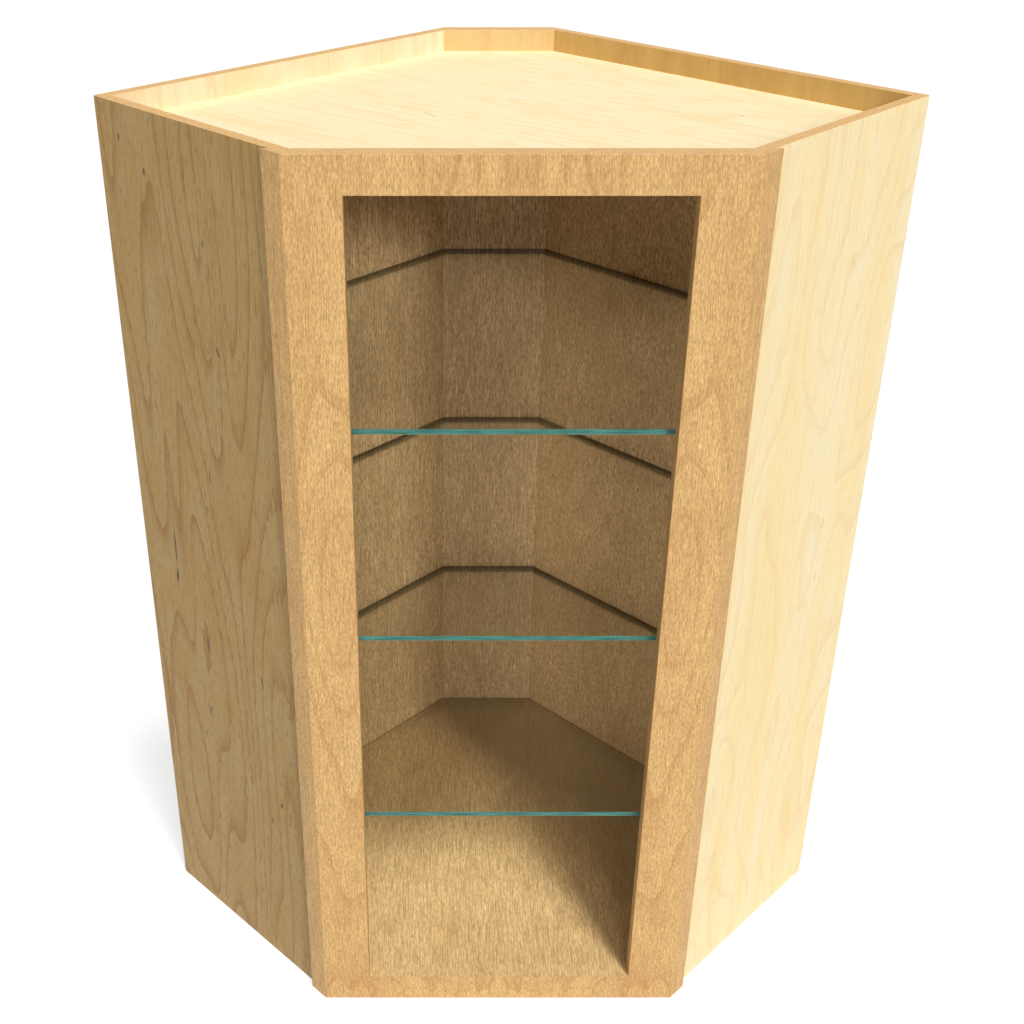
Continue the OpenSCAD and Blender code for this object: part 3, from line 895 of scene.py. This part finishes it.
pick = node(tree, "GeometryNodeIndexSwitch", data_type="VECTOR")
while len(pick.index_switch_items) < len(corners):
    pick.index_switch_items.new()
tree.links.new(node(tree, "GeometryNodeInputIndex").outputs[0], pick.inputs["Index"])
for number, corner in enumerate(corners):
    tree.links.new(corner, pick.inputs[number + 1])
ring = node(tree, "GeometryNodeMeshCircle", {"Vertices": len(corners)}, fill_type="NGON")
outline = node(tree, "GeometryNodeSetPosition", {"Geometry": ring.outputs[0],
                                                 "Position": pick.outputs[0]}).outputs[0]
sheet = node(tree, "GeometryNodeExtrudeMesh", {
    "Mesh": outline, "Offset": vector(tree, 0.0, 0.0, 1.0), "Offset Scale": given["Thickness"],
    "Individual": False})
below = node(tree, "GeometryNodeFlipFaces", {0: outline}).outputs[0]
closed = node(tree, "GeometryNodeJoinGeometry")
for half in (sheet.outputs[0], below):
    tree.links.new(half, closed.inputs[0])
closed = node(tree, "GeometryNodeMergeByDistance", {0: closed.outputs[0]}).outputs[0]
_, depth, up = parts_of(tree, node(tree, "GeometryNodeInputNormal").outputs[0])
at_edge = sums(tree, "LESS_THAN", sums(tree, "ABSOLUTE", up), 0.5)
at_front = sums(tree, "LESS_THAN", depth, -0.9)
closed = node(tree, "GeometryNodeRealizeInstances", {0: closed}).outputs[0]
closed = set_materials(tree, closed, [(None, given["Face"]), (at_edge, given["Wall Edge"]),
                                      (at_front, given["Front Edge"])])
tree.links.new(closed, result.inputs[0])
print("glass shelf: a tree with", len(tree.nodes), "nodes")

# %% [markdown]
# A tree's inputs are set by each socket's own identifier before Blender works it out for the
# first time. The result is then kept as a plain mesh and the modifiers go, so nothing is left
# that could change later.


# %% Run a tree and keep its mesh
def grow(name, tree, values, start=None, eased=None, smooth=20):
    piece = bpy.data.objects.new(name, start or bpy.data.meshes.new(name + "_start"))
    bpy.context.scene.collection.objects.link(piece)
    rule = piece.modifiers.new("rule", "NODES")
    rule.node_group = tree
    for item in tree.interface.items_tree:
        if item.in_out == "INPUT" and item.name in values:
            rule[item.identifier] = values[item.name]
    if eased:
        arris = piece.modifiers.new("arris", "BEVEL")
        arris.width, arris.segments, arris.limit_method = eased, 2, "ANGLE"
        arris.angle_limit = math.radians(40)
    ready = piece.evaluated_get(bpy.context.evaluated_depsgraph_get())
    mesh = bpy.data.meshes.new_from_object(ready)
    piece.modifiers.clear()
    piece.data = mesh
    for face in mesh.polygons:
        face.use_smooth = True
    mesh.set_sharp_from_angle(angle=math.radians(smooth))
    return piece


for level in ("upper", "middle", "lower"):
    measured = level + "_glass_shelf"
    low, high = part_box(measured)
    piece = grow(level + "_shelf_glass", shelf_tree, {
        "Room Corner": room_corner, "End Lining": end_lining, "Back Lining": back_lining,
        "Corner Lining": corner_lining, "Front": room_corner - low.y, "Play": shelf_play,
        "Underside": low.z, "Thickness": high.z - low.z, "Face": face_glass,
        "Front Edge": front_edge_glass, "Wall Edge": ground_edge_glass}, eased=0.0006)
    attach(piece, level + "_shelf")
    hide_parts(measured)
    print(piece.name, [round(value, 4) for value in piece.dimensions], "m")

# %% [markdown]
# The small hardware repeats, so each kind is one tree: it makes the thing once, at the origin,
# and sets it out on points. The points come from the measured solids, and each carries a
# direction, which is the way the thing looks. The last steps make the copies real and give them
# their finish.


# %% Points for the hardware
def solids(name):
    """The separate solids of a measured piece, each as a list of its points."""
    mesh = bmesh.new()
    mesh.from_mesh(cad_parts[name].data)
    bmesh.ops.remove_doubles(mesh, verts=mesh.verts, dist=1e-6)
    left, found = set(mesh.verts), []
    for vertex in mesh.verts:
        if vertex not in left:
            continue
        left.discard(vertex)
        queue, points = [vertex], []
        while queue:
            here = queue.pop()
            points.append(here.co.copy())
            for edge in here.link_edges:
                other = edge.other_vert(here)
                if other in left:
                    left.discard(other)
                    queue.append(other)
        found.append(points)
    mesh.free()
    return found


def middle_of(points):
    return Vector([(min(point[axis] for point in points) + max(point[axis] for point in points)) / 2
                   for axis in range(3)])


def outer_end(points, direction):
    far = max(point.dot(direction) for point in points)
    return middle_of([point for point in points if point.dot(direction) > far - 1e-5])


def points_mesh(name, places, facings):
    mesh = bpy.data.meshes.new(name)
    mesh.from_pydata([tuple(place) for place in places], [], [])
    facing = mesh.attributes.new("facing", "FLOAT_VECTOR", "POINT")
    for value, direction in zip(facing.data, facings):
        value.vector = direction
    return mesh


def set_out(tree, given, result, thing, axis="X", pivot="AUTO"):
    """The end of every hardware tree: one copy on each point, turned its way, made real."""
    facing = node(tree, "GeometryNodeInputNamedAttribute", {"Name": "facing"},
                  data_type="FLOAT_VECTOR").outputs["Attribute"]
    turn = node(tree, "FunctionNodeAlignRotationToVector", {"Vector": facing}, axis=axis,
                pivot_axis=pivot).outputs[0]
    copies = node(tree, "GeometryNodeInstanceOnPoints", {
        "Points": given["Geometry"], "Instance": thing, "Rotation": turn}).outputs[0]
    real = node(tree, "GeometryNodeRealizeInstances", {0: copies}).outputs[0]
    tree.links.new(set_materials(tree, real, [(None, given["Finish"])]), result.inputs[0])


def join(tree, things):
    joined = node(tree, "GeometryNodeJoinGeometry")
    for thing in things:
        tree.links.new(thing, joined.inputs[0])
    return joined.outputs[0]


def moved(tree, thing, x, y, z, turn=(0, 0, 0)):
    return node(tree, "GeometryNodeTransform", {
        "Geometry": thing, "Translation": vector(tree, x, y, z), "Rotation": turn}).outputs[0]


def rod(tree, diameter, length, sides=32):
    inputs = {"Vertices": sides, "Radius": sums(tree, "MULTIPLY", diameter, 0.5), "Depth": length}
    return node(tree, "GeometryNodeMeshCylinder", inputs).outputs[0]


def hardware_group(name, sizes):
    inputs = [("Geometry", "Geometry", None), ("Finish", "Material", None)]
    inputs += [(label, "Float", value) for label, value in sizes.items()]
    return group(name, inputs, [("Geometry", "Geometry")], family="GeometryNodeTree")


print("solids of the upper pads:", len(solids("upper_shelf_pads")))

# %% [markdown]
# Nickel on the pins and yellow zinc on the screws are both metals, seen here with the fine
# scratches of handling. The pads are clear soft plastic, slightly clouded, and the dowels are
# bare beech with its dark flecks.


# %% Finishes for the hardware
def plated(name, bright, worn, rough):
    made, tree, surface = material(name)
    place = object_place(tree)
    cloud = rise(tree, grain_noise(tree, place, 3, scale=420), 0.35, 0.7)
    scratch = rise(tree, grain_noise(tree, place, 4, scale=2600), 0.45, 0.7)
    tree.links.new(tint(tree, shade(*bright), shade(*worn), cloud), surface.inputs["Base Color"])
    tree.links.new(sums(tree, "MULTIPLY_ADD", scratch, 0.14, rough), surface.inputs["Roughness"])
    surface.inputs["Metallic"].default_value = 1
    return made


def soft_plastic(name, colour):
    made, tree, surface = material(name)
    place = object_place(tree)
    cloud = rise(tree, grain_noise(tree, place, 3, scale=500), 0.3, 0.7)
    tree.links.new(tint(tree, shade(*colour), (1, 1, 1, 1), sums(tree, "MULTIPLY", cloud, 0.5)),
                   surface.inputs["Base Color"])
    tree.links.new(sums(tree, "MULTIPLY_ADD", cloud, 0.2, 0.2), surface.inputs["Roughness"])
    surface.inputs["Transmission Weight"].default_value = 0.8
    surface.inputs["IOR"].default_value = 1.45
    return made


def bare_beech(name):
    made, tree, surface = material(name)
    place = object_place(tree)
    fleck = rise(tree, grain_noise(tree, place, 2, scale=900), 0.5, 0.66)
    tree.links.new(tint(tree, shade(222, 184, 138), shade(176, 128, 86), fleck),
                   surface.inputs["Base Color"])
    tree.links.new(sums(tree, "MULTIPLY_ADD", fleck, 0.1, 0.6), surface.inputs["Roughness"])
    return made


nickel_plate = plated("nickel_plate", (222, 219, 210), (196, 192, 182), 0.2)
yellow_zinc = plated("yellow_zinc", (222, 200, 140), (186, 160, 104), 0.28)
soft_clear = soft_plastic("soft_clear", (232, 238, 234))
beech = bare_beech("beech")
print("made", nickel_plate.name, yellow_zinc.name, soft_clear.name, beech.name)

# %% [markdown]
# A shelf pin is a peg in a 5 mm hole, a collar that stops it at the board, and a flat spoon that
# carries the glass. The peg's end is tapered so that it finds its hole.

# %% Tree for the shelf pins
pin_tree, given, result = hardware_group("shelf_pins", {
    "Peg": 0.005, "Peg Length": 0.009, "Collar": 0.007, "Collar Width": 0.0012,
    "Spoon Length": 0.011, "Spoon Width": 0.007, "Spoon Thickness": 0.002})
tree = pin_tree
quarter = (0, math.pi / 2, 0)
point = 0.001
stem = sums(tree, "SUBTRACT", given["Peg Length"], point)
peg = moved(tree, rod(tree, given["Peg"], stem), sums(tree, "MULTIPLY", stem, -0.5), 0.0, 0.0,
            quarter)
tip = node(tree, "GeometryNodeMeshCone", {
    "Vertices": 32, "Radius Top": sums(tree, "MULTIPLY", given["Peg"], 0.5),
    "Radius Bottom": sums(tree, "MULTIPLY", given["Peg"], 0.36), "Depth": point}).outputs[0]
tip = moved(tree, tip, sums(tree, "MULTIPLY", given["Peg Length"], -1), 0.0, 0.0, quarter)
collar = moved(tree, rod(tree, given["Collar"], given["Collar Width"]),
               sums(tree, "MULTIPLY", given["Collar Width"], 0.5), 0.0, 0.0, quarter)
neck_length = sums(tree, "MULTIPLY_ADD", given["Spoon Length"], 0.4, given["Collar Width"])
neck = moved(tree, rod(tree, sums(tree, "MULTIPLY", given["Peg"], 0.7), neck_length),
             sums(tree, "MULTIPLY", neck_length, 0.5), 0.0, 0.0, quarter)
half_spoon = sums(tree, "MULTIPLY", given["Spoon Width"], 0.5)
spoon_end = sums(tree, "ADD", given["Collar Width"], given["Spoon Length"])
spoon_reach = sums(tree, "SUBTRACT", spoon_end, half_spoon)
spoon_z = sums(tree, "SUBTRACT", given["Peg"], given["Spoon Thickness"])
spoon_z = sums(tree, "MULTIPLY", spoon_z, 0.5)
spoon_start = sums(tree, "MULTIPLY", given["Collar Width"], 0.5)
plate_length = sums(tree, "SUBTRACT", spoon_reach, spoon_start)
plate = node(tree, "GeometryNodeMeshCube", {0: vector(
    tree, plate_length, given["Spoon Width"], given["Spoon Thickness"])}).outputs[0]
plate = moved(tree, plate, sums(tree, "MULTIPLY_ADD", plate_length, 0.5, spoon_start), 0.0,
              spoon_z)
bowl = moved(tree, rod(tree, given["Spoon Width"], given["Spoon Thickness"], 48), spoon_reach, 0.0,
             spoon_z)
spoon = node(tree, "GeometryNodeMeshBoolean", operation="UNION")
for thing in (plate, bowl, neck, collar, peg, tip):
    tree.links.new(thing, spoon.inputs["Mesh 2"])
set_out(tree, given, result, spoon.outputs[0], pivot="Z")
print("shelf pins: a tree with", len(tree.nodes), "nodes")

# %% [markdown]
# A clear pad lies on each spoon, so that glass doesn't rest on metal. The pads' measured places
# also give the pins theirs: a pin's peg starts at the board, a spoon's reach behind its pad, and
# its middle lies half a peg below the spoon's top.

# %% Pins and pads
pad_tree, given, result = hardware_group("shelf_pads", {"Pad": 0.006, "Height": 0.0012})
set_out(pad_tree, given, result, rod(pad_tree, given["Pad"], given["Height"], 48))
reach, spoon_top = 0.0087, 0.0025
for level in ("upper", "middle", "lower"):
    low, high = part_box(level + "_shelf_pads")
    pads = [middle_of(points) for points in solids(level + "_shelf_pads")]
    inwards = [Vector((-math.copysign(1, pad.x), -math.copysign(1, pad.y), 0)).normalized()
               for pad in pads]
    seats = [Vector((pad.x, pad.y, low.z - spoon_top)) - way * reach
             for pad, way in zip(pads, inwards)]
    for kind, tree, places, finish, eased, slot in (
            ("pins", pin_tree, seats, nickel_plate, 0.00018, "pin_nickel"),
            ("pads", pad_tree, pads, soft_clear, 0.0003, "clear_pad")):
        piece = grow(f"{level}_{kind}", tree, {"Finish": finish},
                     points_mesh(f"{level}_{kind}_points", places, inwards), eased=eased, smooth=40)
        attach(piece, "cabinet")
        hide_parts(f"{level}_shelf_{kind}")
        print(piece.name, len(places), "on", level, "shelf,", len(piece.data.polygons), "faces")

# %% [markdown]
# The box is screwed together from behind, where nobody looks: 4 mm screws through the backs and
# the corner board into the edges of the decks. A screw has a countersunk head with a cross
# recess, a plain shank and a thread, which is a thin wire wound round the shank.

# %% Tree for the screws
screw_tree, given, result = hardware_group("screws", {
    "Head": 0.008, "Shank": 0.004, "Length": 0.0377, "Tip": 0.006, "Pitch": 0.0018,
    "Thread": 0.0003})
tree = screw_tree
head_height = sums(tree, "MULTIPLY", sums(tree, "SUBTRACT", given["Head"], given["Shank"]), 0.5)
core = sums(tree, "SUBTRACT", given["Shank"], sums(tree, "MULTIPLY", given["Thread"], 2))
body_length = sums(tree, "SUBTRACT", given["Length"], given["Tip"])
head = node(tree, "GeometryNodeMeshCone", {
    "Vertices": 48, "Radius Top": sums(tree, "MULTIPLY", given["Shank"], 0.5),
    "Radius Bottom": sums(tree, "MULTIPLY", given["Head"], 0.5), "Depth": head_height}).outputs[0]
half_body = sums(tree, "MULTIPLY", body_length, 0.5)
shank = moved(tree, rod(tree, core, body_length), 0.0, 0.0, half_body)
tip = node(tree, "GeometryNodeMeshCone", {
    "Vertices": 32, "Radius Top": 0.0002, "Radius Bottom": sums(tree, "MULTIPLY", core, 0.5),
    "Depth": given["Tip"]}).outputs[0]
tip = moved(tree, tip, 0.0, 0.0, body_length)
cross = node(tree, "GeometryNodeMeshBoolean", {0: head}, operation="DIFFERENCE")
for turn in (0, math.pi / 2):
    slot = node(tree, "GeometryNodeMeshCube", {0: vector(
        tree, sums(tree, "MULTIPLY", given["Head"], 0.55),
        sums(tree, "MULTIPLY", given["Head"], 0.12), head_height)}).outputs[0]
    tree.links.new(moved(tree, slot, 0.0, 0.0, 0.0, (0, 0, turn)), cross.inputs["Mesh 2"])
thread_length = sums(tree, "SUBTRACT", body_length, sums(tree, "MULTIPLY", head_height, 2))
winding = node(tree, "GeometryNodeCurveSpiral", {
    "Resolution": 14, "Rotations": sums(tree, "DIVIDE", thread_length, given["Pitch"]),
    "Start Radius": sums(tree, "MULTIPLY", core, 0.5),
    "End Radius": sums(tree, "MULTIPLY", core, 0.5), "Height": thread_length}).outputs[0]
wire = node(tree, "GeometryNodeCurvePrimitiveCircle",
            {"Resolution": 4, "Radius": given["Thread"]}).outputs[0]
thread = node(tree, "GeometryNodeCurveToMesh", {"Curve": winding, "Profile Curve": wire,
                                                "Fill Caps": True}).outputs[0]
thread = moved(tree, thread, 0.0, 0.0, sums(tree, "MULTIPLY", head_height, 2))
whole = moved(tree, join(tree, [cross.outputs[0], shank, tip, thread]), 0.0, 0.0, 0.0,
              (math.pi, 0, 0))
set_out(tree, given, result, whole, axis="Z")
for name, outwards in (("left_back_screws", (-1, 1, 0)), ("right_back_screws", (1, 1, 0)),
                       ("corner_panel_screws", (0, 1, 0))):
    outwards = Vector(outwards).normalized()
    places = [outer_end(points, outwards) for points in solids(name)]
    piece = grow(name + "_driven", screw_tree, {"Finish": yellow_zinc},
                 points_mesh(name + "_points", places, [outwards] * len(places)), smooth=30)
    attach(piece, "cabinet")
    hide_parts(name)
    print(piece.name, len(places), "screws,", len(piece.data.polygons), "faces")

# %% [markdown]
# Dowels join the rails to the stiles and the decks to the rails. Nobody sees them once the glue
# is dry, but they are what holds the frame. A dowel is a rod with chamfered ends and shallow
# flutes that let the air and the glue out: a circle whose radius rises and falls twelve times.

# %% Tree for the dowels
dowel_tree, given, result = hardware_group("dowels", {"Diameter": 0.008, "Length": 0.04,
                                                      "Flutes": 12.0, "Flute Depth": 0.0003})
tree = dowel_tree
solid = rod(tree, given["Diameter"], given["Length"], 72)
x, y, z = parts_of(tree, node(tree, "GeometryNodeInputPosition").outputs[0])
wave = sums(tree, "COSINE", sums(tree, "MULTIPLY", sums(tree, "ARCTAN2", y, x), given["Flutes"]))
depth = sums(tree, "MULTIPLY", sums(tree, "MULTIPLY_ADD", wave, 0.5, 0.5), given["Flute Depth"])
share = sums(tree, "SUBTRACT", 1.0, sums(tree, "DIVIDE", sums(tree, "MULTIPLY", depth, 2),
                                         given["Diameter"]))
fluted = node(tree, "GeometryNodeSetPosition", {"Geometry": solid, "Position": vector(
    tree, sums(tree, "MULTIPLY", x, share), sums(tree, "MULTIPLY", y, share), z)}).outputs[0]
set_out(tree, given, result, fluted, axis="Z")
for name, way in (("top_rail_dowels", (1, 0, 0)), ("bottom_rail_dowels", (1, 0, 0)),
                  ("top_deck_dowels", (0, 1, 0)), ("bottom_deck_dowels", (0, 1, 0))):
    rods, way = solids(name), Vector(way)
    reaches = [point.dot(way) for point in rods[0]]
    heights = [point.z for point in rods[0]]
    length, thick = max(reaches) - min(reaches), max(heights) - min(heights)
    places = [middle_of(points) for points in rods]
    piece = grow(name + "_fluted", dowel_tree, {
        "Finish": beech, "Diameter": round(thick, 4), "Length": round(length, 4)},
        points_mesh(name + "_points", places, [way] * len(places)), eased=0.0008, smooth=40)
    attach(piece, "cabinet")
    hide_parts(name)
    print(piece.name, len(places), "dowels,", round(length * 1000, 1), "mm long")
